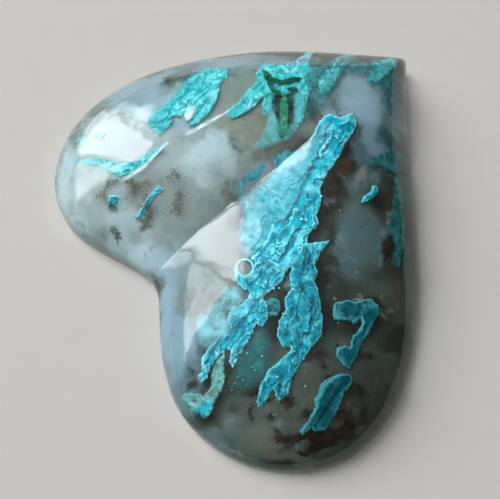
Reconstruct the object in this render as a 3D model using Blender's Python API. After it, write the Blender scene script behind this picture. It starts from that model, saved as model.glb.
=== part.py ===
"""Heart-shaped cabochon: one polished stone with a flat back, a thin girdle and a domed face.

Millimetres are used up to the last step, where the mesh is scaled to metres. +Z runs from the flat
back up through the dome, and the point of the heart lies towards -Y.
"""

import bmesh
import bpy
import numpy as np
from mathutils import Matrix, Vector

MM = 0.001

# Driving dimensions, in millimetres.
THICKNESS = 6.8
GIRDLE_TOP = 0.85  # height of the upright wall, where the dome starts
BACK_CHAMFER = 0.22  # the worn edge between the flat back and the wall

# The guide points of the heart's outline, anticlockwise from its point. The edge is one smooth
# closed curve drawn between them, and the point is named twice so that it stays nearly sharp.
POINT = (2.5, -18.3)
CLEFT = (2.7, 11.2)
RIGHT_SIDE = [(5.6, -15.4), (11.2, -10.9), (15.6, -4.8)]
RIGHT_LOBE = [(18.3, 0.9), (18.8, 6.4), (16.6, 11.7), (10.9, 15.1)]
LEFT_LOBE = [(0.3, 13.8), (-5.3, 18.0), (-10.3, 18.1), (-14.9, 16.4), (-18.9, 11.3)]
LEFT_SIDE = [(-17.9, 4.1), (-14.0, -1.6), (-8.9, -7.0), (-1.9, -13.3)]

# The dome rises to its summit over this spot. Its level lines are hearts near the edge, so a crease
# runs in from the cleft, and the polish has rounded them more and more towards the summit.
SUMMIT = (0.9, -5.7)
SUMMIT_RADIUS = 17.0  # about how far the edge lies from the summit
ROUNDED_SHARE = 0.12  # share of the way round that the polish evens out, each way, at the summit
POINT_ROUNDING = 0.5  # under 1, so that the ridge over the point is lost soon after the edge
CLEFT_ROUNDING = 1.3  # over 1, so that the crease from the cleft lasts towards the summit
DOME_POWER = 2.08  # 2 is an ellipse's quarter, more has a steeper shoulder and a flatter crown
# Three cuts then shape the dome, each a share of its height: a fine groove along the crease, a
# broad hollow either side of it that leaves two full lobes, and a lowered shoulder all round.
GROOVE_CUT, GROOVE_WIDTH = 0.05, 0.6
HOLLOW_CUT, HOLLOW_WIDTH = 0.246, 8.2
CREASE_FADE = 5  # high, so that the crease stays deep most of the way to the summit
SHOULDER_CUT, SHOULDER_WIDTH = 0.138, 7.7

# Fineness of the faceted solid.
STEPS_PER_GUIDE = 8
DOME_RINGS = 21
OUTLINE_STEPS = 144


def edge_point(turn):
    """Point of the outline at a share of the way round, on a closed cubic B-spline."""
    guides = [POINT, POINT, *RIGHT_SIDE, *RIGHT_LOBE, CLEFT, *LEFT_LOBE, *LEFT_SIDE]
    # The middle of the doubled guide is where the outline starts.
    place = turn * len(guides) + 0.5
    first = int(place)
    t = place - first
    weights = ((1 - t) ** 3, 3 * t**3 - 6 * t**2 + 4, 3 * (t + t**2 - t**3) + 1, t**3)
    near = (Vector(guides[(first + k - 1) % len(guides)]) for k in range(4))
    return sum((point * weight / 6 for point, weight in zip(near, weights)), Vector((0, 0)))


def plan_point(turn, reach):
    """Point in plan at a share of the way round and a share of the way out from the summit."""
    towards_point = (1 + np.cos(2 * np.pi * turn)) / 2
    power = CLEFT_ROUNDING + (POINT_ROUNDING - CLEFT_ROUNDING) * towards_point
    evened = ROUNDED_SHARE * (1 - reach) ** power
    offsets = np.linspace(-evened, evened, 7)
    level = sum((edge_point((turn + offset) % 1) for offset in offsets), Vector((0, 0))) / 7
    return Vector(SUMMIT).lerp(level, reach)


def dome_height(reach):
    return GIRDLE_TOP + (THICKNESS - GIRDLE_TOP) * (1 - reach**DOME_POWER) ** (1 / DOME_POWER)


OUTLINE = np.array([edge_point(k / OUTLINE_STEPS) for k in range(OUTLINE_STEPS)])
OUTLINE_RUNS = np.roll(OUTLINE, -1, axis=0) - OUTLINE


def from_edge(point):
    """Distance in plan from a point to the outline."""
    offsets = np.subtract(point, OUTLINE)
    shares = np.clip((offsets * OUTLINE_RUNS).sum(axis=1) / (OUTLINE_RUNS**2).sum(axis=1), 0, 1)
    return np.hypot(*(offsets - shares[:, None] * OUTLINE_RUNS).T).min()


def share_left(point):
    """Share of the dome's height left by the crease and the shoulder, at a point in plan."""
    crease = Vector(SUMMIT) - Vector(CLEFT)
    offset = point - Vector(CLEFT)
    along = offset.dot(crease) / crease.length_squared
    across = abs(offset.cross(crease)) / crease.length
    groove = GROOVE_CUT * np.exp(-across / GROOVE_WIDTH)
    hollow = HOLLOW_CUT * max(0, 1 - across / HOLLOW_WIDTH) ** 2
    fade = max(0, 1 - abs(along) ** CREASE_FADE) ** 2
    crease_left = 1 - fade * (groove + hollow)
    return crease_left * (1 - SHOULDER_CUT * max(0, 1 - from_edge(point) / SHOULDER_WIDTH) ** 2)


def button_profile():
    """Section of a button of radius 1, from the middle of its back over the rim to its top."""
    chamfer = BACK_CHAMFER / SUMMIT_RADIUS
    profile = [(0, 0), (1 - chamfer, 0), (1, BACK_CHAMFER)]
    for slope in np.linspace(0, np.pi / 2, DOME_RINGS + 1):
        reach = np.cos(slope) ** (2 / DOME_POWER) if slope < np.pi / 2 else 0
        profile.append((reach, dome_height(reach)))
    return profile


def turned_button(steps):
    """The button profile spun round into a closed body."""
    bm = bmesh.new()
    section = [bm.verts.new((reach, 0, height)) for reach, height in button_profile()]
    edges = [bm.edges.new(pair) for pair in zip(section, section[1:])]
    bmesh.ops.spin(
        bm, geom=section + edges, axis=(0, 0, 1), cent=(0, 0, 0), steps=steps,
        angle=2 * np.pi, use_merge=True,
    )
    bmesh.ops.remove_doubles(bm, verts=bm.verts, dist=1e-5)
    return bm


def heart_cabochon():
    """The turned button pushed out to the heart's outline, centred and scaled to metres."""
    guide_count = 3 + len(RIGHT_SIDE + RIGHT_LOBE + LEFT_LOBE + LEFT_SIDE)
    bm = turned_button(guide_count * STEPS_PER_GUIDE)
    for vert in bm.verts:
        turn = np.arctan2(vert.co.y, vert.co.x) / (2 * np.pi) % 1
        vert.co.xy = plan_point(turn, vert.co.xy.length)
        if vert.co.z > GIRDLE_TOP:
            vert.co.z = GIRDLE_TOP + (vert.co.z - GIRDLE_TOP) * share_left(vert.co.xy)
    for axis in range(2):
        ends = [vert.co[axis] for vert in bm.verts]
        middle = (min(ends) + max(ends)) / 2
        for vert in bm.verts:
            vert.co[axis] -= middle
    bmesh.ops.transform(bm, matrix=Matrix.Scale(MM, 4), verts=bm.verts)
    bmesh.ops.recalc_face_normals(bm, faces=bm.faces)
    mesh = bpy.data.meshes.new("heart_cabochon")
    bm.to_mesh(mesh)
    bm.free()
    mesh.shade_smooth()
    mesh.set_sharp_from_angle(angle=np.radians(35))
    return mesh


def polished_chalcedony():
    """Grey-blue translucent chalcedony with a polished surface."""
    material = bpy.data.materials.new("polished_chalcedony")
    material.use_nodes = True
    shader = material.node_tree.nodes["Principled BSDF"]
    shader.inputs["Base Color"].default_value = (0.22, 0.42, 0.43, 1)
    shader.inputs["Roughness"].default_value = 0.08
    shader.inputs["Metallic"].default_value = 0
    shader.inputs["IOR"].default_value = 1.54
    return material


for startup in list(bpy.data.objects):
    bpy.data.objects.remove(startup)

stone = bpy.data.objects.new("heart_cabochon", heart_cabochon())
stone.data.materials.append(polished_chalcedony())
bpy.context.scene.collection.objects.link(stone)
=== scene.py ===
"""A heart cabochon: clear and milky chalcedony over turquoise, green and brown minerals."""
from math import ceil, exp, pi, radians, tan

import bmesh
import bpy
import numpy as np
from mathutils import Matrix, Vector, noise
from mathutils.bvhtree import BVHTree


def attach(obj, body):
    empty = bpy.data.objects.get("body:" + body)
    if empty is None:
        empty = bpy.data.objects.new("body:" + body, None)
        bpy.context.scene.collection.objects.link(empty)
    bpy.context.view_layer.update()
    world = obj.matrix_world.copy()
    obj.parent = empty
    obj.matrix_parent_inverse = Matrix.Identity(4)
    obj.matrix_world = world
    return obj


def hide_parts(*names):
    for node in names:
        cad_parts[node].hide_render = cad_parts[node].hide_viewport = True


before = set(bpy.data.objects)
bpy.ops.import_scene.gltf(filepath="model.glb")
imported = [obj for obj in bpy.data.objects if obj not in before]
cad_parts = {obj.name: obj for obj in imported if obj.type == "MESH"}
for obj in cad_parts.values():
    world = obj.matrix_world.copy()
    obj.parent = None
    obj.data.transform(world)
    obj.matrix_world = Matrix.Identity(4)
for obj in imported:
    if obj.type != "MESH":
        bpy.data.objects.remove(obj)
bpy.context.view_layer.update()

MM = 0.001

# ---------------------------------------------------------------------------------------------
# The stone's own shape, in millimetres: the same heart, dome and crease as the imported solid. It
# lies on its flat back, with the point of the heart towards -Y.

THICKNESS = 6.8
GIRDLE_TOP = 0.85
BACK_CHAMFER = 0.22
POINT = (2.5, -18.3)
CLEFT = (2.7, 11.2)
RIGHT_SIDE = [(5.6, -15.4), (11.2, -10.9), (15.6, -4.8)]
RIGHT_LOBE = [(18.3, 0.9), (18.8, 6.4), (16.6, 11.7), (10.9, 15.1)]
LEFT_LOBE = [(0.3, 13.8), (-5.3, 18.0), (-10.3, 18.1), (-14.9, 16.4), (-18.9, 11.3)]
LEFT_SIDE = [(-17.9, 4.1), (-14.0, -1.6), (-8.9, -7.0), (-1.9, -13.3)]
GUIDES = np.array([POINT, POINT, *RIGHT_SIDE, *RIGHT_LOBE, CLEFT, *LEFT_LOBE, *LEFT_SIDE])
SUMMIT = (0.9, -5.7)
SUMMIT_RADIUS = 17.0
ROUNDED_SHARE = 0.12
POINT_ROUNDING = 0.5
CLEFT_ROUNDING = 1.3
DOME_POWER = 2.08
GROOVE_CUT, GROOVE_WIDTH = 0.05, 0.6
HOLLOW_CUT, HOLLOW_WIDTH = 0.246, 8.2
CREASE_FADE = 5
SHOULDER_CUT, SHOULDER_WIDTH = 0.138, 7.7

# Fineness of the polish, of the hearts inside it, and of the outline that distances are taken from.
STEPS_PER_GUIDE, DOME_RINGS = 20, 84
INNER_STEPS_PER_GUIDE, INNER_RINGS = 8, 30
OUTLINE_STEPS = 180
SHARP_EDGE = 35  # a heart's edges turn sharp above this many degrees


def edge_points(turns):
    """Points of the outline at shares of the way round, on a closed cubic B-spline."""
    places = turns % 1 * len(GUIDES) + 0.5
    first = places.astype(int)
    t = places - first
    weights = ((1 - t) ** 3, 3 * t**3 - 6 * t**2 + 4, 3 * (t + t**2 - t**3) + 1, t**3)
    near = (GUIDES[(first + k - 1) % len(GUIDES)] for k in range(4))
    return sum(points * (weight / 6)[:, None] for points, weight in zip(near, weights))


def plan_points(turns, reaches):
    """Points in plan at shares of the way round and shares of the way out from the summit."""
    towards_point = (1 + np.cos(2 * pi * turns)) / 2
    powers = CLEFT_ROUNDING + (POINT_ROUNDING - CLEFT_ROUNDING) * towards_point
    evened = ROUNDED_SHARE * (1 - reaches) ** powers
    level = sum(edge_points(turns + evened * offset) for offset in np.linspace(-1, 1, 7)) / 7
    return SUMMIT + (level - SUMMIT) * reaches[:, None]


def dome_height(reach):
    return GIRDLE_TOP + (THICKNESS - GIRDLE_TOP) * (1 - reach**DOME_POWER) ** (1 / DOME_POWER)


def from_edge(points):
    """Distance in plan from each point to the outline."""
    starts = edge_points(np.arange(OUTLINE_STEPS) / OUTLINE_STEPS)
    runs = np.roll(starts, -1, axis=0) - starts
    nearest = np.full(len(points), SUMMIT_RADIUS)
    for start, run in zip(starts, runs):
        offsets = points - start
        shares = np.clip(offsets @ run / (run @ run), 0, 1)
        nearest = np.minimum(nearest, np.hypot(*(offsets - shares[:, None] * run).T))
    return nearest


def share_left(points):
    """Share of the dome's height left by the crease and the shoulder, at points in plan."""
    crease = np.subtract(SUMMIT, CLEFT)
    offsets = points - CLEFT
    along = offsets @ crease / (crease @ crease)
    across = abs(offsets[:, 0] * crease[1] - offsets[:, 1] * crease[0]) / np.hypot(*crease)
    groove = GROOVE_CUT * np.exp(-across / GROOVE_WIDTH)
    hollow = HOLLOW_CUT * np.maximum(0, 1 - across / HOLLOW_WIDTH) ** 2
    fade = np.maximum(0, 1 - abs(along) ** CREASE_FADE) ** 2
    crease_left = 1 - fade * (groove + hollow)
    shoulder = np.maximum(0, 1 - from_edge(points) / SHOULDER_WIDTH) ** 2
    return crease_left * (1 - SHOULDER_CUT * shoulder)


def heart_body(steps_per_guide, rings):
    """A button turned round the summit, then pushed out to the heart's outline, in metres."""
    bm = bmesh.new()
    chamfer = BACK_CHAMFER / SUMMIT_RADIUS
    profile = [(0, 0), (1 - chamfer, 0), (1, BACK_CHAMFER)]
    for slope in np.linspace(0, pi / 2, rings + 1)[:-1]:
        reach = np.cos(slope) ** (2 / DOME_POWER)
        profile.append((reach, dome_height(reach)))
    profile.append((0, THICKNESS))
    section = [bm.verts.new((reach, 0, height)) for reach, height in profile]
    edges = [bm.edges.new(pair) for pair in zip(section, section[1:])]
    bmesh.ops.spin(
        bm, geom=section + edges, axis=(0, 0, 1), cent=(0, 0, 0),
        steps=len(GUIDES) * steps_per_guide, angle=2 * pi, use_merge=True,
    )
    bmesh.ops.remove_doubles(bm, verts=bm.verts, dist=1e-5)
    places = np.array([vert.co for vert in bm.verts])
    turns = np.arctan2(places[:, 1], places[:, 0]) / (2 * pi) % 1
    plan = plan_points(turns, np.minimum(np.hypot(places[:, 0], places[:, 1]), 1))
    dome = np.maximum(places[:, 2] - GIRDLE_TOP, 0)
    heights = places[:, 2] + dome * (share_left(plan) - 1)
    plan -= (plan.min(axis=0) + plan.max(axis=0)) / 2
    for vert, (x, y), z in zip(bm.verts, plan, heights):
        vert.co = Vector((x, y, z)) * MM
    bm.normal_update()
    bmesh.ops.recalc_face_normals(bm, faces=bm.faces)
    bm.normal_update()
    return bm


# ---------------------------------------------------------------------------------------------
# The camera, and rays through its 500 by 499 pixel picture.

CAMERA_AZIMUTH = radians(225.84)
CAMERA_ELEVATION = radians(66.58)
CAMERA_DISTANCE = 72.69 * MM
CAMERA_AIM = Vector((-0.60, 4.40, 0)) * MM
FIELD_OF_VIEW = radians(32)
PICTURE_MIDDLE = (250, 249.5)
PIXELS_AWAY = PICTURE_MIDDLE[0] / tan(FIELD_OF_VIEW / 2)  # distance of the picture plane
PIXELS_PER_MM = 12.3  # about, over the stone

BACKWARD = Vector((
    np.sin(CAMERA_AZIMUTH) * np.cos(CAMERA_ELEVATION),
    -np.cos(CAMERA_AZIMUTH) * np.cos(CAMERA_ELEVATION),
    np.sin(CAMERA_ELEVATION),
))
RIGHTWARD = Vector((np.cos(CAMERA_AZIMUTH), np.sin(CAMERA_AZIMUTH), 0))
UPWARD = BACKWARD.cross(RIGHTWARD)
EYE = CAMERA_AIM + BACKWARD * CAMERA_DISTANCE


def facing_along(backward, place):
    """Pose of a camera or a lamp at a place, with this direction behind it."""
    return Matrix.Translation(place) @ backward.to_track_quat("Z", "Y").to_matrix().to_4x4()


def add_camera():
    data = bpy.data.cameras.new("camera")
    data.sensor_width = 36
    data.lens = data.sensor_width / 2 / tan(FIELD_OF_VIEW / 2)
    data.clip_start, data.clip_end = 0.005, 5
    camera = bpy.data.objects.new("camera", data)
    camera.matrix_world = facing_along(BACKWARD, EYE)
    bpy.context.scene.collection.objects.link(camera)
    bpy.context.scene.camera = camera


IOR = 1.54  # chalcedony's


class Stone:
    """The polished surface, and what the camera sees in and under it."""

    def __init__(self):
        self.mesh = heart_body(STEPS_PER_GUIDE, DOME_RINGS)
        self.surface = BVHTree.FromBMesh(self.mesh)

    def meet(self, x, y):
        """Where the ray through a pixel meets the polish, the way out there, and the ray."""
        across, down = x - PICTURE_MIDDLE[0], y - PICTURE_MIDDLE[1]
        ray = ((RIGHTWARD * across - UPWARD * down) / PIXELS_AWAY - BACKWARD).normalized()
        hit, normal, _, _ = self.surface.ray_cast(EYE, ray)
        return hit, normal, ray

    def under(self, x, y, depth):
        """Place seen at a pixel through the polish, this many millimetres in from the surface."""
        hit, normal, ray = self.meet(x, y)
        if hit is None:
            return None
        slant = -ray.dot(normal)
        sunk = (1 - (1 - slant**2) / IOR**2) ** 0.5
        bent = ray / IOR + normal * (slant / IOR - sunk)
        return hit + bent * (depth * MM / sunk)

    def mirrored(self, x, y):
        """Direction in the room that is mirrored at a pixel."""
        _, normal, ray = self.meet(x, y)
        return ray.reflect(normal)


def keep(name, bm, material, rides=True, smooth_angle=None):
    """Turns a bmesh into an object, which rides on the stone's body unless it is the table."""
    mesh = bpy.data.meshes.new(name)
    bm.to_mesh(mesh)
    bm.free()
    mesh.shade_smooth()
    if smooth_angle:
        mesh.set_sharp_from_angle(angle=radians(smooth_angle))
    mesh.materials.append(material)
    piece = bpy.data.objects.new(name, mesh)
    bpy.context.scene.collection.objects.link(piece)
    if rides:
        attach(piece, "root")
        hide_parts("heart_cabochon")
    return piece


# ---------------------------------------------------------------------------------------------
# Writing materials.


def colour(red, green, blue):
    """A screen colour, 0 to 255, as the linear numbers that a finish takes."""
    return tuple(
        c / 3294.6 if c <= 10.31 else ((c / 255 + 0.055) / 1.055) ** 2.4
        for c in (red, green, blue)
    ) + (1,)


class Value:
    """A number that changes over a surface. Arithmetic on it adds Math nodes."""

    def __init__(self, finish, socket):
        self.finish, self.socket = finish, socket

    def math(self, operation, first, second):
        node = self.finish.node("ShaderNodeMath", {0: first, 1: second}, operation=operation)
        return Value(self.finish, node.outputs[0])

    def __add__(self, other):
        return self.math("ADD", self, other)

    def __sub__(self, other):
        return self.math("SUBTRACT", self, other)

    def __rsub__(self, other):
        return self.math("SUBTRACT", other, self)

    def __mul__(self, other):
        return self.math("MULTIPLY", self, other)

    __radd__ = __add__
    __rmul__ = __mul__

    def between(self, low, high):
        """0 at low and 1 at high, eased at both ends."""
        node = self.finish.node(
            "ShaderNodeMapRange", {"Value": self, "From Min": low, "From Max": high},
            interpolation_type="SMOOTHSTEP",
        )
        return Value(self.finish, node.outputs["Result"])


class Finish:
    """A material or a room in the making. A material's patterns are in millimetres."""

    def __init__(self, name, made_in="materials"):
        self.made = getattr(bpy.data, made_in).new(name)
        self.made.use_nodes = True
        self.tree = self.made.node_tree
        self.tree.nodes.clear()
        self.seen_from = self.node("ShaderNodeTexCoord").outputs
        self.place = self.vector("SCALE", {0: self.seen_from["Object"], "Scale": 1 / MM})

    def node(self, kind, values=(), **settings):
        node = self.tree.nodes.new(kind)
        for key, setting in settings.items():
            setattr(node, key, setting)
        for socket, value in dict(values).items():
            value = getattr(value, "socket", value)
            if isinstance(value, bpy.types.NodeSocket):
                self.tree.links.new(value, node.inputs[socket])
            else:
                node.inputs[socket].default_value = value
        return node

    def vector(self, operation, values):
        return self.node("ShaderNodeVectorMath", values, operation=operation).outputs[0]

    def noise(self, per_mm, detail=3, roughness=0.5, place=None):
        node = self.node("ShaderNodeTexNoise", {
            "Vector": place or self.place, "Scale": per_mm, "Detail": detail,
            "Roughness": roughness,
        })
        return Value(self, node.outputs["Fac"])

    def cells(self, per_mm):
        """Distance from the nearest of many scattered points, in shares of a cell."""
        node = self.node("ShaderNodeTexVoronoi", {"Vector": self.place, "Scale": per_mm})
        return Value(self, node.outputs["Distance"])

    def wandering(self, per_mm, reach):
        """The place pushed about by noise, so that a shape loses its even edge."""
        push = self.node(
            "ShaderNodeTexNoise", {"Vector": self.place, "Scale": per_mm, "Detail": 3},
        ).outputs["Color"]
        push = self.vector("SUBTRACT", {0: push, 1: (0.5, 0.5, 0.5)})
        push = self.vector("SCALE", {0: push, "Scale": reach * 2})
        return self.vector("ADD", {0: self.place, 1: push})

    def patch(self, centre, radii, turn, place, soft):
        """1 inside an upright oval column round a place, falling to 0 outside it."""
        oval = self.node("ShaderNodeMapping", {
            "Vector": place, "Location": centre / MM, "Rotation": (0, 0, turn),
            "Scale": (*radii, 1000),
        }, vector_type="TEXTURE").outputs[0]
        length = self.node("ShaderNodeVectorMath", {0: oval}, operation="LENGTH").outputs["Value"]
        return Value(self, length).between(1 + soft, 1 - soft)

    def attribute(self, name):
        return Value(self, self.node("ShaderNodeAttribute", attribute_name=name).outputs["Fac"])

    def mix(self, factor, first, second):
        node = self.node("ShaderNodeMix", {0: factor, 6: first, 7: second}, data_type="RGBA")
        return node.outputs[2]

    def bump(self, height, strength, distance_mm):
        return self.node("ShaderNodeBump", {
            "Height": height, "Strength": strength, "Distance": distance_mm * MM,
        }).outputs[0]

    def surface(self, values):
        return self.node("ShaderNodeBsdfPrincipled", values).outputs[0]

    def matt(self, values):
        """Surface of a mineral inside the stone. The shine is left to the polish above it."""
        return self.done(self.surface({"Roughness": 0.8, "Specular IOR Level": 0.0, **values}))

    def done(self, surface, volume=None):
        output = self.node("ShaderNodeOutputMaterial", {"Surface": surface})
        if volume:
            self.tree.links.new(volume, output.inputs["Volume"])
        return self.made


# ---------------------------------------------------------------------------------------------
# Finishes.


def clear_chalcedony():
    """Polished, see-through and faintly blue-green. Lamps reach the minerals inside it."""
    finish = Finish("clear_chalcedony")
    ripple = finish.noise(0.35, detail=2)
    polish = finish.surface({
        "Base Color": (0.97, 0.99, 0.99, 1), "Roughness": 0.02, "IOR": IOR,
        "Transmission Weight": 1.0, "Normal": finish.bump(ripple, 0.08, 1.0),
    })
    lamp = finish.node("ShaderNodeLightPath").outputs["Is Shadow Ray"]
    open_way = finish.node("ShaderNodeBsdfTransparent", {"Color": (0.95, 0.97, 0.97, 1)}).outputs[0]
    shader = finish.node("ShaderNodeMixShader", {0: lamp, 1: polish, 2: open_way}).outputs[0]
    depth = finish.node("ShaderNodeVolumeAbsorption", {
        "Color": (0.80, 0.90, 0.92, 1), "Density": 60.0,
    }).outputs[0]
    return finish.done(shader, depth)


def chrysocolla(name, pale, body, deep, soft=False):
    """Crust with thin pale edges to its sheets, partly their own colour and partly painted highlight
    on their crests, painted shade in its folds and hollows, and deep colour in its spots.

    A soft one is hazier, and frays where it thins out.
    """
    finish = Finish(name)
    pale, body, deep = colour(*pale), colour(*body), colour(*deep)
    light, dark = finish.attribute("light"), finish.attribute("dark")
    grain, beads = finish.noise(6, detail=4, roughness=0.7), finish.cells(4.5)
    fine = grain - 0.5
    base = finish.mix((finish.noise(0.9) + fine * 0.2).between(0.46, 0.62) * 0.5, body, pale)
    base = finish.mix((finish.noise(1.7) + fine * 0.3).between(0.48, 0.62) * 0.7, base, deep)
    base = finish.mix((beads + fine).between(0.4, 0.8) * 0.4, base, deep)
    crisp = 0.4 if soft else 0.75
    # dark is painted shade in folds and hollows; light is the pale sheet edges together with painted
    # highlight on their crests
    base = finish.mix((dark + fine).between(0.1, 0.8) * crisp, base, deep)
    base = finish.mix((light + fine * 0.8).between(0.2, 0.8) * crisp, base, pale)
    values = {
        "Base Color": base, "Roughness": 0.7,
        "Normal": finish.bump(grain - beads * 0.6, 0.26 * crisp, 0.05),
    }
    if soft:
        fray = finish.noise(1.4, detail=5, roughness=0.6) - 0.5
        values["Alpha"] = (finish.attribute("thick") + fray * 1.2).between(0.15, 0.7)
    return finish.matt(values)


def veil_finish(name, tint, grain_tint=None):
    """A thin cloud inside the stone, in one tint or two, let through where it thins out."""
    finish = Finish(name)
    thick = finish.attribute("thick")
    wisp = finish.noise(0.9, detail=5, roughness=0.6)
    grain = finish.noise(2.5, detail=4).between(0.35, 0.7)
    shade = finish.mix(grain, colour(*tint), colour(*(grain_tint or tint)))
    return finish.matt({
        "Base Color": shade, "Roughness": 0.7, "Alpha": thick * wisp.between(0.15, 0.75),
    })


# ---------------------------------------------------------------------------------------------
# Shapes inside the stone, drawn in picture pixels and sunk under the polish.


def inset(points, outline):
    """Distance in from a closed outline at each point, negative outside, and the way in."""
    starts = np.array(outline, float)
    runs = np.roll(starts, -1, axis=0) - starts
    offsets = points[:, None] - starts[None]
    share = np.clip((offsets * runs).sum(2) / (runs**2).sum(1), 0, 1)
    away = offsets - share[..., None] * runs
    spans = np.hypot(away[..., 0], away[..., 1])
    nearest = spans.argmin(axis=1)
    rows = np.arange(len(points))
    distance, away = spans[rows, nearest], away[rows, nearest]
    ends = np.roll(starts, -1, axis=0)
    above = (starts[None, :, 1] > points[:, 1:2]) != (ends[None, :, 1] > points[:, 1:2])
    climb = np.where(runs[:, 1] == 0, 1e-9, runs[:, 1])
    crossing = starts[:, 0] + (points[:, 1:2] - starts[:, 1]) * runs[:, 0] / climb
    inside = (above & (points[:, :1] < crossing)).sum(axis=1) % 2 == 1
    side = np.where(inside, 1, -1)
    way_in = away / np.maximum(distance, 1e-6)[:, None] * side[:, None]
    return distance * side, way_in


def trim(bm):
    """Drops corners where two parts of a sheet only just touch, and whatever has no face."""
    pinched = [1]
    while pinched:
        pinched = [
            vert for vert in bm.verts
            if sum(edge.is_boundary for edge in vert.link_edges) > 2
        ]
        bmesh.ops.delete(bm, geom=pinched, context="VERTS")
    bare = [edge for edge in bm.edges if not edge.link_faces]
    bmesh.ops.delete(bm, geom=bare, context="EDGES")
    loose = [vert for vert in bm.verts if not vert.link_faces]
    bmesh.ops.delete(bm, geom=loose, context="VERTS")


def waves(spot, seed, weight=0.8, octaves=3):
    """Rough noise at a place on a sheet, between about -1 and 1."""
    return noise.fractal(Vector((*spot, seed)), weight, 2.0, octaves)


def cut_sheet(outline, cell, ragged, seed, holes):
    """A flat grid of pixels cut to an outline with an uneven edge. Also each vertex's inset."""
    low, high = np.min(outline, axis=0) - 2, np.max(outline, axis=0) + 2
    counts = [ceil(side / cell) for side in high - low]
    bm = bmesh.new()
    bmesh.ops.create_grid(bm, x_segments=counts[0], y_segments=counts[1], size=0.5)
    bmesh.ops.scale(bm, vec=(*(high - low), 1), verts=bm.verts)
    bmesh.ops.translate(bm, vec=(*((high + low) / 2), 0), verts=bm.verts)
    points = np.array([vert.co.xy for vert in bm.verts])
    depth, way_in = inset(points, outline)
    for hole in holes:
        hole_depth, hole_way = inset(points, hole)
        nearer = -hole_depth < depth
        depth = np.where(nearer, -hole_depth, depth)
        way_in = np.where(nearer[:, None], -hole_way, way_in)
    for k, spot in enumerate(points):
        if abs(depth[k]) < 3 * ragged + cell:
            depth[k] += ragged * (0.4 + waves(spot * 0.3, seed, weight=0.6))
    store = bm.verts.layers.float.new("inset")
    for vert, span in zip(bm.verts, depth):
        vert[store] = span
    ways = {vert: Vector((*way, 0)) for vert, way in zip(bm.verts, way_in)}
    outside = [vert for vert in bm.verts if vert[store] < -0.5 * cell]
    bmesh.ops.delete(bm, geom=outside, context="VERTS")
    trim(bm)
    for vert in bm.verts:
        if vert.is_boundary:
            vert.co -= ways[vert] * max(min(vert[store], cell), -cell)
            vert[store] = 0
    return bm, store


def sink(bm, stone, depths, thickness=0):
    """Moves a flat sheet of pixels to its depths under the polish, and gives it a thickness."""
    for vert in list(bm.verts):
        place = stone.under(vert.co.x, vert.co.y, depths[vert])
        if place is None:
            bm.verts.remove(vert)
        else:
            vert.co = place
    trim(bm)
    if thickness:
        back = bmesh.ops.extrude_face_region(bm, geom=bm.faces[:])["geom"]
        moved = [item for item in back if isinstance(item, bmesh.types.BMVert)]
        bmesh.ops.translate(bm, vec=(0, 0, -thickness * MM), verts=moved)
    bm.normal_update()
    bmesh.ops.recalc_face_normals(bm, faces=bm.faces)


# A crust's sheets wave this much longer along its flow than across it.
SHEET_STRETCH = 2.2
# Half widths of its fold lines, darkened with painted shade, and of the pale line along its outline,
# partly painted highlight, in pixels.
FOLD_WIDTH, EDGE_WIDTH = 1.3, 1.1


def crust(stone, name, outline, finish, depth, flow=0.0, *, band, seed, swing=0.9, lift=0.26,
          ragged=1.5, cell=0.8, holes=(), thickness=0.3, soft=0, folds=()):
    """A crumpled crust of stacked sheets, whose edges run with the flow.

    Bands, cells and soft edges are in pixels; the depth, the lift and the thickness are in
    millimetres.
    """
    bm, store = cut_sheet(outline, cell, ragged, seed, holes)
    points = np.array([vert.co.xy for vert in bm.verts])
    crease = np.zeros(len(points))
    for fold in folds:
        away, _ = inset(points, fold)
        crease = np.maximum(crease, 0.8 * np.exp(-(away / FOLD_WIDTH) ** 2))
    light, dark, thick = (bm.verts.layers.float.new(key) for key in ("light", "dark", "thick"))
    along = np.array([np.cos(flow), np.sin(flow)])
    across = np.array([-np.sin(flow), np.cos(flow)])
    depths = {}
    for vert, spot, sunk in zip(bm.verts, points, crease):
        strand = (spot @ along / (band * SHEET_STRETCH), spot @ across / band)
        strand = waves(strand, seed, octaves=2) + 0.09 * waves(spot * 0.22, seed, weight=0.7)
        lump = waves(spot / band, seed + 7)
        phase = (vert[store] / band + swing * 1.6 * strand + 0.05) % 1
        edge = exp(-vert[store] / EDGE_WIDTH)
        # light: pale sheet edges and outline, with painted highlight on each crest; dark: painted
        # shade before each step, in low lumps and along the folds
        vert[light] = min(1.0, 1.5 * max(0.0, 1 - phase / 0.12) + edge) * (1 - sunk)
        vert[dark] = max(0.0, (phase - 0.7) / 0.3) ** 1.5 * (1 - edge) + max(0.0, -lump - 0.2) + sunk
        vert[thick] = min(1.0, vert[store] / soft) if soft else 1
        height = 0.6 * max(1 - phase / 0.85, (phase - 0.85) / 0.15) + 0.4 * (0.5 + lump)
        height *= min(1.0, 0.5 + vert[store] / 4)
        depths[vert] = depth + lift * (1 - height + 0.5 * sunk)
    sink(bm, stone, depths, thickness)
    keep(name, bm, finish)


def veil(stone, name, outline, finish, depth, *, soft, seed, strength=1.0, cell=2.0, holes=(),
         ragged=1.5):
    """A thin cloud that fades out towards its outline."""
    bm, store = cut_sheet(outline, cell, ragged, seed, holes)
    thick = bm.verts.layers.float.new("thick")
    depths = {}
    for vert in bm.verts:
        share = min(1.0, vert[store] / soft)
        vert[thick] = strength * share * share * (3 - 2 * share)
        wave = noise.noise(Vector((vert.co.x * 0.05, vert.co.y * 0.05, seed)))
        depths[vert] = depth + 0.1 * wave
    sink(bm, stone, depths)
    keep(name, bm, finish)


OVAL_CORNERS = 16


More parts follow.
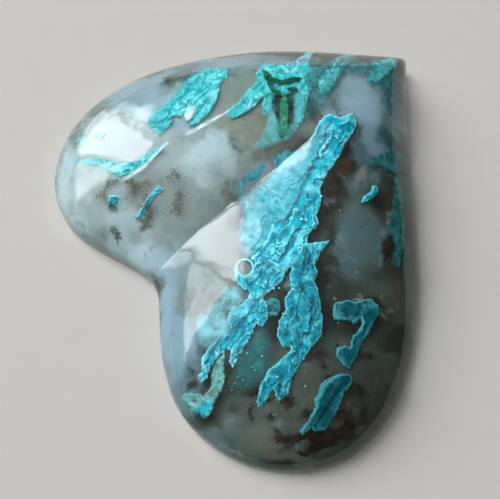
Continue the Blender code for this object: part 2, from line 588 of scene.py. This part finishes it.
def oval(x, y, wide, high, turn=0.0, wild=0.0):
    """Outline of an oval in pixels. A wild one wanders in and out."""
    angles = np.arange(OVAL_CORNERS) * 2 * pi / OVAL_CORNERS
    spots = (Vector((1.3 * np.cos(angle), 1.3 * np.sin(angle), x + y)) for angle in angles)
    reach = np.array([1 + wild * noise.noise(spot) for spot in spots])
    a, b = wide * reach * np.cos(angles), high * reach * np.sin(angles)
    across = x + a * np.cos(turn) - b * np.sin(turn)
    down = y + a * np.sin(turn) + b * np.cos(turn)
    return list(zip(across, down))


def inner_heart(name, finish, top, side, back):
    """A smaller heart in the stone, these millimetres in from its dome, its edge and its back."""
    bm = heart_body(INNER_STEPS_PER_GUIDE, INNER_RINGS)
    middle = Vector((*SUMMIT, 0)) * MM
    share = 1 - side / SUMMIT_RADIUS
    bmesh.ops.scale(
        bm, vec=(share, share, (THICKNESS - top - back) / THICKNESS), verts=bm.verts,
        space=Matrix.Translation(-middle),
    )
    bmesh.ops.translate(bm, vec=(0, 0, back * MM), verts=bm.verts)
    keep(name, bm, finish, smooth_angle=SHARP_EDGE)


# ---------------------------------------------------------------------------------------------
# Where everything is, in pixels of the picture.

DOWN_LEFT, DOWN = radians(118), radians(100)  # how the plumes flow from their tops to their feet

# The crisp crusts.
TRUNK = [
    (329, 114), (320, 122), (313, 137), (305, 152), (296, 158), (290, 170), (283, 182), (276, 196),
    (276, 214), (270, 236), (262, 250), (252, 258), (256, 264), (266, 262), (284, 272), (296, 262),
    (304, 248), (309, 232), (318, 224), (315.5, 215), (319, 207), (321, 196), (319, 188),
    (328, 170), (338, 157), (345, 143), (354, 129), (355.6, 122), (352, 114), (340, 118),
]
RIGHT_BRANCH = [
    (304, 243), (309, 244), (318, 243), (329, 241), (320, 252), (314, 264), (317, 272), (314, 281),
    (317, 290), (320, 304), (322, 322), (320, 336), (309, 349), (300, 363), (291, 377), (288, 393),
    (279, 400), (274, 388), (268, 394), (265, 402), (258, 407), (258, 395), (262, 383), (270, 369),
    (277, 364), (293, 349), (290, 345), (283, 347), (278, 335), (280, 320), (287, 309), (285, 299),
    (292, 289), (290, 275), (296, 258),
]
LEFT_BRANCH = [
    (284, 268), (284, 276), (278, 284), (270, 290), (261, 295), (267, 306), (267, 318), (262, 326),
    (256, 322), (252, 332), (247, 342), (239, 354), (233, 367), (230, 362), (232, 349), (226, 349),
    (219, 355), (214, 361), (209, 370), (206, 378), (201, 381), (198, 379), (202, 370), (203, 357),
    (209, 349), (216, 341), (224, 331), (228, 319), (232, 309), (242, 305), (247, 299), (252, 292),
    (243, 288), (237, 281), (235, 269), (241, 276), (250, 276), (256, 264), (262, 256),
]
LOWER_BLOB = [
    (181, 394), (192, 391), (203, 394), (210, 388), (212, 380), (211, 370), (218, 357), (226, 350),
    (224, 362), (226, 376), (224, 387), (218, 396), (214, 407), (210, 416), (205, 419), (198, 413),
    (192, 414), (188, 406), (182, 400),
]
HOOK = [
    (335, 303), (349, 301), (356, 303), (369, 298), (377, 305), (378, 313), (373, 322), (368, 332),
    (360, 345), (356, 355), (349, 368), (343, 363), (337, 355), (338, 349), (345, 346), (350, 349),
    (352, 343), (353, 337), (359, 332), (363, 322), (361, 317), (355, 323), (347, 319), (336, 319),
    (333, 314),
]
LEAF = [
    (341, 374), (351, 375), (352, 380), (349, 386), (343, 393), (340, 403), (335, 413), (330, 421),
    (325, 430), (315, 430), (311, 427), (303, 434), (301, 431), (307, 424), (311, 417), (316, 407),
    (315, 400), (319, 393), (321, 385), (327, 380),
]
SLIVER = [
    (159, 185), (163, 190), (157, 194), (151, 200), (147, 209), (142, 218), (135, 219), (139, 213),
    (144, 203), (151, 194),
]
DOT = [(110, 195), (119, 196), (119, 204), (114, 206), (109, 211), (107, 204)]
RIGHT_SLIVER = [(373, 186), (378, 188), (377, 194), (370, 198), (362, 202), (364, 197), (371, 193)]
PLUME_BULB = oval(273, 307, 7, 8)
RING, RING_HOLE = oval(245, 268, 9.5, 9.5), oval(245, 267.5, 7.6, 7.6)
CYAN_BLOT, PALE_BLOT = oval(82, 141, 5, 4.5), oval(99, 136, 6, 3.5)

# Their deep folds, each a line of pixels, sunk and darkened with painted shade.
TRUNK_FOLDS = [
    [(313, 169), (304, 177), (295, 190)], [(330, 146), (324, 151)],
    [(305, 221), (296, 232), (289, 245), (283, 258)], [(319, 196), (308, 207), (299, 214)],
    [(277, 235), (268, 246), (259, 253)], [(296, 238), (286, 254), (276, 266)],
]
LEFT_FOLDS = [
    [(272, 264), (262, 275), (252, 284)], [(260, 298), (251, 312), (242, 325), (232, 338)],
    [(244, 318), (234, 331), (226, 340)], [(221, 338), (211, 352), (206, 364)],
]
RIGHT_FOLDS = [
    [(308, 250), (310, 260), (303, 271)], [(313, 296), (316, 314), (311, 328)],
    [(297, 328), (301, 345)], [(288, 366), (281, 380), (279, 392)], [(300, 283), (306, 293)],
]
LEAF_FOLDS = [[(344, 384), (333, 396), (325, 412), (316, 426)], [(336, 380), (328, 392)]]

# The softer crusts.
TRUNK_FOG = [
    (330, 136), (312, 142), (300, 146), (285, 147), (266, 154), (250, 166), (232, 180), (230, 194),
    (238, 208), (236, 224), (230, 240), (240, 258), (262, 264), (284, 250), (300, 232), (314, 206),
    (324, 176),
]
TRUNK_SHOULDER = [
    (326, 118), (314, 134), (298, 148), (282, 152), (270, 172), (262, 194), (262, 214), (270, 226),
    (284, 223), (296, 208), (303, 190), (310, 172), (320, 154), (328, 136),
]
UPPER_LEFT_PLUME = [
    (196, 70), (215, 65), (230, 66), (231, 75), (223, 84), (221, 94), (216, 106), (209, 117),
    (199, 126), (188, 128), (183, 120), (176, 118), (170, 130), (158, 138), (148, 130), (144, 118),
    (156, 108), (168, 99), (181, 84),
]
TOP_ARM = [
    (225, 112), (232, 119), (243, 114), (255, 106), (262, 98), (273, 94), (268, 80), (261, 79),
    (255, 82), (247, 91), (239, 101),
]
TOP_CLUSTER = [
    (255, 73), (264, 64), (284, 64), (296, 60), (306, 52), (315, 50), (308, 64), (317, 72), (317, 81),
    (309, 95), (306, 106), (303, 120), (297, 128), (293, 118), (294, 100), (284, 98), (275, 98),
    (271, 111), (263, 116), (261, 106), (266, 92), (258, 84),
]
TOP_WISPS = [
    (316, 72), (326, 66), (334, 58), (346, 51), (361, 52), (352, 62), (342, 72), (338, 82),
    (330, 92), (320, 98), (314, 90),
]
TIP_CRUST = [
    (366, 72), (374, 60), (386, 55), (399, 57), (399, 68), (390, 76), (380, 84), (370, 88), (364, 82),
]
UNDER_LIGHT = [
    (62, 156), (80, 158), (104, 158), (122, 162), (140, 158), (158, 146), (166, 142), (160, 154),
    (146, 164), (132, 174), (118, 178), (100, 168), (84, 166), (68, 172), (60, 168),
]
EDGE_TEAL = [(398, 78), (409, 80), (409, 112), (402, 112), (399, 96)]
EDGE_PATCH = [
    (366, 158), (378, 152), (390, 148), (405, 150), (407, 172), (394, 176), (380, 168), (368, 168),
]
EDGE_STRIP = [
    (392, 172), (403, 176), (406, 200), (406, 226), (404, 250), (400, 272), (393, 268), (393, 246),
    (388, 226), (392, 206),
]
BLOB_CORE = oval(206, 407, 12, 8, -0.6, wild=0.5)

# The malachite stalk, the shade behind it, and the gashes above it.
STALK_SHADE = [
    (271, 92), (284, 92), (296, 90), (295, 104), (294, 120), (288, 130), (280, 130), (275, 118),
    (271, 106),
]
STALK = [(279, 98), (284, 96), (289, 98), (289, 112), (288, 126), (284, 137), (278, 136), (279, 118)]
GASHES = [
    [(262, 69), (268, 71), (273, 77), (282, 80), (291, 77), (301, 76), (300, 80), (291, 83),
     (280, 84), (272, 83), (265, 80)],
    [(265, 80), (272, 83), (275, 88), (282, 92), (279, 96), (271, 91)],
    [(287, 88), (293, 86), (299, 88), (297, 92), (290, 92)],
]
STALK_FOOT = oval(283, 129, 10, 8)

# The thin clouds, which have no crust of their own.
FOOT_HAZE = [
    (262, 318), (276, 340), (276, 366), (264, 388), (240, 396), (226, 388), (230, 366), (244, 340),
]
CLUSTER_HAZE = [
    (262, 92), (304, 88), (308, 108), (300, 128), (292, 140), (276, 146), (258, 152), (248, 146),
    (258, 138), (266, 122),
]
TOP_HAZE = [
    (300, 76), (312, 62), (330, 54), (352, 54), (366, 58), (372, 56), (400, 58), (402, 104),
    (390, 112), (378, 104), (376, 84), (356, 76), (342, 78), (334, 92), (326, 106), (306, 122),
    (298, 116), (306, 96),
]
SIDE_HAZE = [
    (190, 326), (200, 310), (214, 300), (224, 284), (240, 284), (246, 300), (236, 322), (222, 344),
    (208, 354), (198, 346),
]
# Two thin white streaks of painted highlight, where a ridge of the polish mirrors the light.
HIGHLIGHT_STREAKS = [
    [(184, 133), (206, 121), (229, 109), (230, 112), (208, 125), (187, 137)],
    [(121, 179), (142, 165), (166, 141), (169, 143), (145, 169), (124, 182)],
]
WHITE_LENS = oval(190, 112, 5, 10, 0.5)


def crisp_crusts(stone):
    """The turquoise just under the polish."""
    bright = chrysocolla("bright_turquoise", (132, 222, 232), (0, 158, 178), (0, 104, 122))
    branch = chrysocolla("branch_turquoise", (96, 204, 214), (0, 138, 156), (0, 84, 100))
    petrol = chrysocolla("petrol_turquoise", (66, 152, 160), (0, 84, 96), (0, 50, 58))
    green = chrysocolla("green_turquoise", (150, 196, 190), (88, 156, 154), (76, 104, 92), soft=True)
    crust(stone, "plume_trunk", TRUNK, bright, 0.25, DOWN_LEFT, band=14, seed=1, folds=TRUNK_FOLDS)
    crust(stone, "right_branch", RIGHT_BRANCH, branch, 0.25, DOWN, band=13, seed=2,
          folds=RIGHT_FOLDS)
    crust(stone, "left_branch", LEFT_BRANCH, bright, 0.22, DOWN_LEFT, band=10, seed=3,
          folds=LEFT_FOLDS)
    crust(stone, "plume_bulb", PLUME_BULB, petrol, 0.35, band=8, seed=21)
    crust(stone, "plume_ring", RING, bright, 0.2, band=8, swing=0.2, ragged=0.3, cell=0.6, seed=4,
          holes=[RING_HOLE], thickness=0.15)
    crust(stone, "lower_blob", LOWER_BLOB, green, 0.12, DOWN_LEFT, band=12, seed=5, lift=0.2, soft=4)
    crust(stone, "hook", HOOK, petrol, 0.12, radians(80), band=24, swing=0.12, seed=6, lift=0.18)
    crust(stone, "leaf", LEAF, petrol, 0.12, DOWN_LEFT, band=40, swing=0.1, seed=7, lift=0.18,
          folds=LEAF_FOLDS)
    crust(stone, "sliver", SLIVER, bright, 0.25, DOWN_LEFT, band=6, seed=8, ragged=0.6, cell=0.6)
    crust(stone, "dot", DOT, bright, 0.25, band=7, seed=9, ragged=0.6, cell=0.6)
    crust(stone, "cyan_blot", CYAN_BLOT, bright, 0.25, band=7, seed=22, cell=0.6)
    crust(stone, "pale_blot", PALE_BLOT, green, 0.25, band=7, seed=23, cell=0.6)
    crust(stone, "right_sliver", RIGHT_SLIVER, branch, 0.3, DOWN, band=6, seed=24, cell=0.6)


def soft_crusts(stone):
    """Hazier turquoise, which frays where it thins out."""
    soft = chrysocolla("soft_turquoise", (140, 216, 220), (64, 176, 182), (12, 120, 126), soft=True)
    fog = chrysocolla("foggy_turquoise", (118, 186, 196), (74, 160, 172), (20, 118, 134), soft=True)
    wisp = chrysocolla("wispy_turquoise", (128, 190, 194), (70, 150, 154), (22, 100, 104), soft=True)
    core = chrysocolla("soft_cyan", (130, 206, 214), (40, 166, 182), (8, 108, 124), soft=True)
    teal = chrysocolla("teal_crust", (64, 136, 134), (28, 96, 96), (12, 60, 58), soft=True)
    crust(stone, "trunk_fog", TRUNK_FOG, fog, 0.45, DOWN_LEFT, band=20, seed=14, soft=16)
    crust(stone, "trunk_shoulder", TRUNK_SHOULDER, fog, 0.13, DOWN_LEFT, band=16, seed=25, soft=8,
          lift=0.14, thickness=0.1, folds=TRUNK_FOLDS)
    crust(stone, "upper_left_plume", UPPER_LEFT_PLUME, soft, 0.3, radians(130), band=14, seed=10,
          soft=8)
    crust(stone, "top_arm", TOP_ARM, soft, 0.3, radians(140), band=11, seed=11, soft=2)
    crust(stone, "top_cluster", TOP_CLUSTER, soft, 0.4, radians(120), band=11, seed=12, soft=2)
    crust(stone, "top_wisps", TOP_WISPS, wisp, 0.16, radians(120), band=14, seed=26, soft=6,
          lift=0.1, thickness=0.1)
    crust(stone, "tip_crust", TIP_CRUST, wisp, 0.1, radians(120), band=14, seed=27, soft=9,
          lift=0.1, thickness=0.1)
    crust(stone, "under_light", UNDER_LIGHT, soft, 0.3, radians(160), band=9, seed=28, soft=4)
    crust(stone, "edge_teal", EDGE_TEAL, teal, 0.1, DOWN, band=9, seed=29, soft=5, lift=0.12)
    crust(stone, "edge_patch", EDGE_PATCH, teal, 0.1, DOWN, band=9, seed=30, soft=8, lift=0.08,
          thickness=0.1)
    crust(stone, "edge_strip", EDGE_STRIP, teal, 0.08, DOWN, band=9, seed=31, soft=5, lift=0.08,
          thickness=0.1)
    crust(stone, "blob_core", BLOB_CORE, core, 0.08, DOWN_LEFT, band=9, seed=35, lift=0.1, cell=0.6,
          thickness=0.1, soft=5)


def malachite(stone):
    """The green stalk at the top of the plumes, with its shade, its foot and its gashes."""
    green = chrysocolla("malachite", (84, 172, 140), (26, 116, 88), (8, 66, 52), soft=True)
    dark = chrysocolla("dark_malachite", (26, 112, 80), (8, 76, 52), (4, 34, 24), soft=True)
    shade = veil_finish("shaded_green", (6, 38, 28), (4, 22, 18))
    foot = veil_finish("green_haze", (40, 140, 116))
    veil(stone, "malachite_shade", STALK_SHADE, shade, 0.28, soft=4, strength=1.3, cell=1, seed=13)
    crust(stone, "malachite_stalk", STALK, green, 0.14, radians(92), band=5, seed=33, lift=0.1,
          soft=3.5, thickness=0.1, cell=0.6)
    veil(stone, "stalk_foot", STALK_FOOT, foot, 0.2, soft=6, strength=0.9, seed=37)
    for k, gash in enumerate(GASHES, 1):
        crust(stone, f"malachite_gash_{k}", gash, dark, 0.2, band=6, seed=40 + k, lift=0.1,
              soft=2.2, thickness=0.1, cell=0.6, ragged=1.0)


def hazes(stone):
    """Thin clouds of colour between the crusts, and two white streaks of painted highlight."""
    haze = veil_finish("turquoise_haze", (66, 164, 168), (110, 184, 190))
    dark = veil_finish("dark_turquoise_haze", (26, 94, 96), (50, 112, 112))
    teal = veil_finish("teal_haze", (30, 92, 94), (60, 122, 124))
    aqua = veil_finish("aqua_haze", (118, 178, 188))
    white = veil_finish("white_haze_and_highlight", (196, 216, 220))
    veil(stone, "foot_haze", FOOT_HAZE, dark, 0.4, soft=12, seed=15)
    veil(stone, "cluster_haze", CLUSTER_HAZE, haze, 0.4, soft=7, strength=0.85, seed=16)
    veil(stone, "top_haze", TOP_HAZE, teal, 0.2, soft=8, seed=36)
    veil(stone, "side_haze", SIDE_HAZE, aqua, 0.2, soft=9, strength=1.1, seed=17)
    veil(stone, "white_lens", WHITE_LENS, white, 0.2, soft=3, seed=18)
    # Painted highlight: white streaks along a ridge of the polish.
    for k, streak in enumerate(HIGHLIGHT_STREAKS, 1):
        veil(stone, f"painted_highlight_streak_{k}", streak, white, 0.1, soft=1.6, cell=0.8, seed=60 + k,
             ragged=0.4)


# Tints of the milk and smoke in the stone, of painted shade on its lower right, and of a painted
# reflection on its lower-left shoulder.
WHITE_MILK, BLUE_MILK = colour(176, 198, 206), colour(130, 154, 166)
GREY_MILK, SLATE_MILK_AND_REFLECTION = colour(146, 162, 162), colour(122, 150, 164)
ASH_MILK, DULL_MILK = colour(124, 138, 132), colour(112, 122, 116)
BLUE_SMOKE, TAN_SMOKE = colour(64, 86, 94), colour(116, 116, 98)
DUST_SMOKE, BROWN_SMOKE = colour(82, 80, 68), colour(56, 50, 36)
TEAL_SMOKE, DEEP_TEAL, LOWER_RIGHT_SHADE = colour(44, 100, 98), colour(24, 62, 60), colour(28, 32, 26)

# Clouds in the stone: pixel, half width and half height in pixels, lean in degrees, tint, strength.
CLOUDS = [
    ((235, 96), (60, 54), 0, ASH_MILK, 0.75),
    ((132, 178), (100, 96), 0, GREY_MILK, 0.88),
    ((125, 88), (100, 30), -32, BLUE_MILK, 0.75),
    ((235, 62), (90, 18), 0, BLUE_MILK, 0.6),
    ((66, 196), (14, 60), 0, WHITE_MILK, 0.4),
    ((125, 240), (60, 22), 38, WHITE_MILK, 0.45),
    ((258, 132), (44, 30), -30, TAN_SMOKE, 0.6),
    ((206, 164), (22, 28), 25, WHITE_MILK, 0.6),
    ((242, 178), (26, 22), 0, GREY_MILK, 0.6),
    ((152, 196), (32, 24), 0, DULL_MILK, 0.7),
    ((150, 262), (26, 26), 0, WHITE_MILK, 0.75),
    # Painted reflection: the slate band on the lower-left shoulder, where the polish mirrors the low
    # surroundings.
    ((170, 330), (24, 90), 0, SLATE_MILK_AND_REFLECTION, 0.85),
    ((212, 262), (40, 74), 20, DULL_MILK, 0.75),
    ((186, 395), (16, 26), 0, BLUE_SMOKE, 0.7),
    ((295, 400), (60, 50), 0, DUST_SMOKE, 0.55),
    ((256, 442), (40, 16), 0, DULL_MILK, 0.4),
    ((210, 434), (30, 12), 20, SLATE_MILK_AND_REFLECTION, 0.45),
    ((288, 452), (26, 10), -10, DUST_SMOKE, 0.7),
    ((355, 234), (30, 44), 0, BLUE_SMOKE, 0.8),
    ((362, 106), (30, 22), 10, BLUE_MILK, 0.75),
    ((345, 80), (56, 24), 0, BLUE_MILK, 0.8),
    ((142, 113), (16, 14), 30, WHITE_MILK, 0.7),
    ((397, 86), (12, 28), 0, TEAL_SMOKE, 0.75),
    ((388, 120), (34, 30), 0, SLATE_MILK_AND_REFLECTION, 0.75),
    ((308, 124), (18, 22), 0, DULL_MILK, 0.7),
    ((366, 140), (34, 26), 0, BLUE_SMOKE, 0.75),
    ((374, 134), (12, 30), 0, SLATE_MILK_AND_REFLECTION, 0.5),
    ((366, 176), (14, 22), 0, BLUE_SMOKE, 0.7),
    ((366, 180), (6, 9), 20, TAN_SMOKE, 0.6),
    ((404, 190), (11, 100), 0, DEEP_TEAL, 0.9),
    # The next two clouds are painted shade on the lower right, away from the lamps.
    ((384, 400), (22, 60), 35, LOWER_RIGHT_SHADE, 0.75),
    ((352, 440), (40, 16), 30, LOWER_RIGHT_SHADE, 0.6),
    ((355, 400), (40, 50), 15, BROWN_SMOKE, 0.5),
]


def smoke_and_shade_finish():
    """The dark depth of the stone, with brown smoke in it, and painted shade where its clear depths
    look dark.
    """
    finish = Finish("smoke_and_shade_ground")
    smoke, fine = finish.noise(0.22, detail=4), finish.noise(2.2, detail=4, roughness=0.65)
    base = finish.mix(smoke.between(0.35, 0.65), colour(34, 39, 33), colour(60, 62, 52))
    base = finish.mix(fine.between(0.5, 0.75) * 0.5, base, colour(40, 34, 22))
    return finish.matt({"Base Color": base})


CLOUD_DEPTH = 0.7  # millimetres under the polish


def milk_finish(stone):
    """Clouds of milky chalcedony, clear between them, one of them a painted reflection and two of
    them painted shade, and a pale line round the edge, a painted highlight where the girdle catches
    light.
    """
    finish = Finish("milky_chalcedony")
    place = finish.wandering(0.22, 3.5)
    wisps = finish.noise(0.55, detail=6, roughness=0.62) - 0.5
    height = Value(finish, finish.node("ShaderNodeSeparateXYZ", {0: finish.place}).outputs["Z"])
    # Paler near the back: a painted highlight where the girdle catches light.
    base = finish.mix(height.between(1.0, 0.4), colour(92, 116, 108), colour(132, 156, 148))
    cover = height.between(1.4, 0.5) * 0.85
    for pixel, radii, lean, tint, strength in CLOUDS:
        centre = stone.under(*pixel, CLOUD_DEPTH)
        wide, high = (radius / PIXELS_PER_MM for radius in radii)
        mask = finish.patch(centre, (wide, high), CAMERA_AZIMUTH + radians(lean), place, 0.7)
        mask = (mask + wisps).between(0.05, 1.0) * strength
        base = finish.mix(mask, base, tint)
        cover = cover + mask * (1 - cover)
    return finish.matt({"Base Color": base, "Alpha": cover})


# Moss: pixel, half width and half height in pixels of a loose ring, and how wide its band is.
MOSS_OVER_MILK = [
    ((162, 196), (19, 19), 10), ((118, 192), (14, 12), 9), ((114, 237), (5, 8), 5),
    ((145, 222), (6, 5), 4), ((190, 378), (4, 12), 5),
]
MOSS_IN_SMOKE = [
    ((360, 330), (27, 29), 5), ((214, 418), (24, 18), 8), ((308, 384), (26, 36), 18),
    ((250, 398), (14, 10), 8), ((330, 268), (6, 18), 7), ((344, 160), (8, 10), 6),
    ((329, 205), (7, 28), 8), ((246, 372), (18, 24), 12), ((388, 250), (5, 12), 5),
    ((266, 410), (19, 10), 6),
]
MOSS_AT_FOOT = [
    ((352, 407), (15, 18), 11), ((303, 446), (12, 10), 7), ((322, 442), (13, 11), 9),
    ((343, 428), (12, 10), 9), ((304, 426), (36, 14), 9),
]


def moss(stone, name, rings, depth, tint, strength=0.9):
    """Brown specks too fine to be raised, strung along loose rings."""
    finish = Finish(f"{name}_specks")
    fine, patchy = finish.noise(8, detail=5, roughness=0.7), finish.noise(0.9, detail=3)
    base = finish.mix(finish.noise(1.5).between(0.4, 0.65), tint, colour(18, 17, 12))
    thick = finish.attribute("thick") * (patchy.between(0.36, 0.56) * 0.7 + 0.3)
    brown = finish.matt({
        "Base Color": base, "Alpha": (fine + thick * 0.22).between(0.6, 0.67) * strength,
    })
    for k, ((x, y), (wide, high), spread) in enumerate(rings, 1):
        outline, hole = (
            oval(x, y, wide + side, high + side, wild=0.7) for side in (spread, -spread)
        )
        holes = [hole] if min(wide, high) > spread + 2 else []
        veil(stone, f"{name}_{k}", outline, brown, depth - 0.006 * k, soft=spread, cell=1.5,
             seed=50 + k, holes=holes)


GLINTS = [
    (247, 353), (255, 370), (252, 367), (243, 380), (246, 384), (238, 377), (232, 390), (235, 383),
    (283, 248), (287, 244), (338, 323), (357, 272), (305, 386), (279, 288), (262, 356), (266, 380),
    (284, 252), (290, 240), (340, 210), (344, 178),
]


def glints(stone):
    """Tiny rough quartz crystals that catch the light, painted near white as glints, as one mesh."""
    finish = Finish("quartz_glint")
    # Near-white base colour: a painted glint, on top of the crystals' own gloss.
    base = finish.mix(finish.noise(3), colour(210, 235, 235), colour(170, 215, 215))
    quartz = finish.done(finish.surface({"Base Color": base, "Roughness": 0.15}))
    rng = np.random.default_rng(5)
    bm = bmesh.new()
    for k, spot in enumerate(GLINTS):
        place, size = stone.under(*spot, 0.4), rng.uniform(0.03, 0.07)
        for vert in bmesh.ops.create_icosphere(bm, subdivisions=1, radius=1)["verts"]:
            rough = 1 + 0.6 * noise.noise(vert.co * 1.3 + Vector((k * 3.7, 5, 0)))
            vert.co = place + vert.co * size * MM * rough
    keep("glints", bm, quartz)


def add_table():
    bm = bmesh.new()
    bmesh.ops.create_grid(bm, x_segments=1, y_segments=1, size=0.6)
    finish = Finish("pale_table")
    shade = finish.mix(finish.noise(0.4), colour(203, 201, 196), colour(208, 206, 202))
    plain = finish.done(finish.surface({"Base Color": shade, "Roughness": 0.7}))
    keep("table", bm, plain, rides=False)


# Bright parts of the room, by the pixels where the polish mirrors their corners, going round.
# Each has a brightness, and how soft its edges are in degrees.
WINDOWS = [
    (((105, 105), (130, 119), (158, 138), (138, 160), (79, 153)), 5.5, 2.2),
    (((122, 102), (148, 118), (163, 136), (138, 160), (79, 153)), 2.5, 2.2),
    (((78, 161), (104, 160), (130, 165), (110, 176), (79, 203)), 6.0, 3.0),
]


def add_room(stone):
    """A dim room with bright windows up to the left, painted where the polish mirrors them."""
    room = Finish("room", "worlds")
    facing = room.seen_from["Generated"]

    def towards(direction):
        node = room.node("ShaderNodeVectorMath", {0: facing, 1: direction}, operation="DOT_PRODUCT")
        return Value(room, node.outputs["Value"])

    window_side = towards(heading(150, 60))
    light = 0.06 + 0.25 * window_side.between(0.3, 0.95) + 0.35 * window_side.between(0.8, 1.0)
    streaks = room.noise(5, place=facing, detail=4, roughness=0.6).between(0.36, 0.52)
    for corners, brightness, soft in WINDOWS:
        directions = [stone.mirrored(*corner) for corner in corners]
        middle = sum(directions, Vector())
        inside = None
        for start, end in zip(directions, directions[1:] + directions[:1]):
            side = start.cross(end).normalized()
            side *= 1 if side.dot(middle) > 0 else -1
            edge = towards(side).between(-radians(soft), radians(soft))
            inside = edge if inside is None else inside * edge
        light = light + inside * brightness * (0.55 + 0.45 * streaks)
    mirrored = room.node(
        "ShaderNodeBackground", {"Color": (0.95, 0.97, 1.04, 1), "Strength": light},
    ).outputs[0]
    wall = room.node("ShaderNodeBackground", {"Color": (0.62, 0.61, 0.59, 1)}).outputs[0]
    seen = room.node("ShaderNodeLightPath").outputs["Is Camera Ray"]
    shader = room.node("ShaderNodeMixShader", {0: seen, 1: mirrored, 2: wall}).outputs[0]
    room.node("ShaderNodeOutputWorld", {"Surface": shader})
    # The room is only mirrored. The light on the stone comes from the soft lamps.
    room.made.cycles.sampling_method = "NONE"
    room.made.cycles_visibility.diffuse = False
    bpy.context.scene.world = room.made
    soft_lamp("window_light", bearing=145, height=42, distance=1.0, size=0.85, power=11.9)
    soft_lamp("ceiling_light", bearing=90, height=84, distance=1.8, size=1.6, power=10.4)


def soft_lamp(name, bearing, height, distance, size, power):
    """A square lamp facing the stone, which the polish doesn't mirror. Metres and watts."""
    towards = heading(bearing, height)
    data = bpy.data.lights.new(name, "AREA")
    data.size, data.energy = size, power
    lamp = bpy.data.objects.new(name, data)
    lamp.matrix_world = facing_along(towards, towards * distance)
    lamp.visible_glossy = False
    bpy.context.scene.collection.objects.link(lamp)


def heading(bearing, height):
    """A direction. Bearings count from the picture's right towards its top."""
    away = UPWARD.copy()
    away.z = 0
    flat = RIGHTWARD * np.cos(radians(bearing)) + away.normalized() * np.sin(radians(bearing))
    return flat * np.cos(radians(height)) + Vector((0, 0, np.sin(radians(height))))


bpy.context.scene.view_settings.view_transform = "Standard"
add_camera()
stone = Stone()
# Dark ground deep in the stone: brown smoke, and painted shade for its clear depths.
inner_heart("smoke_and_shade_ground", smoke_and_shade_finish(), top=2.3, side=0.6, back=0.4)
inner_heart("milky_layer", milk_finish(stone), top=0.85, side=0.12, back=0.12)
soft_crusts(stone)
malachite(stone)
hazes(stone)
crisp_crusts(stone)
moss(stone, "moss_over_milk", MOSS_OVER_MILK, 0.25, colour(86, 78, 56), 0.62)
moss(stone, "moss_in_smoke", MOSS_IN_SMOKE, 0.52, colour(46, 38, 22))
moss(stone, "moss_at_foot", MOSS_AT_FOOT, 0.3, colour(46, 38, 22))
glints(stone)
keep("polished_stone", stone.mesh, clear_chalcedony(), smooth_angle=SHARP_EDGE)
add_table()
add_room(stone)
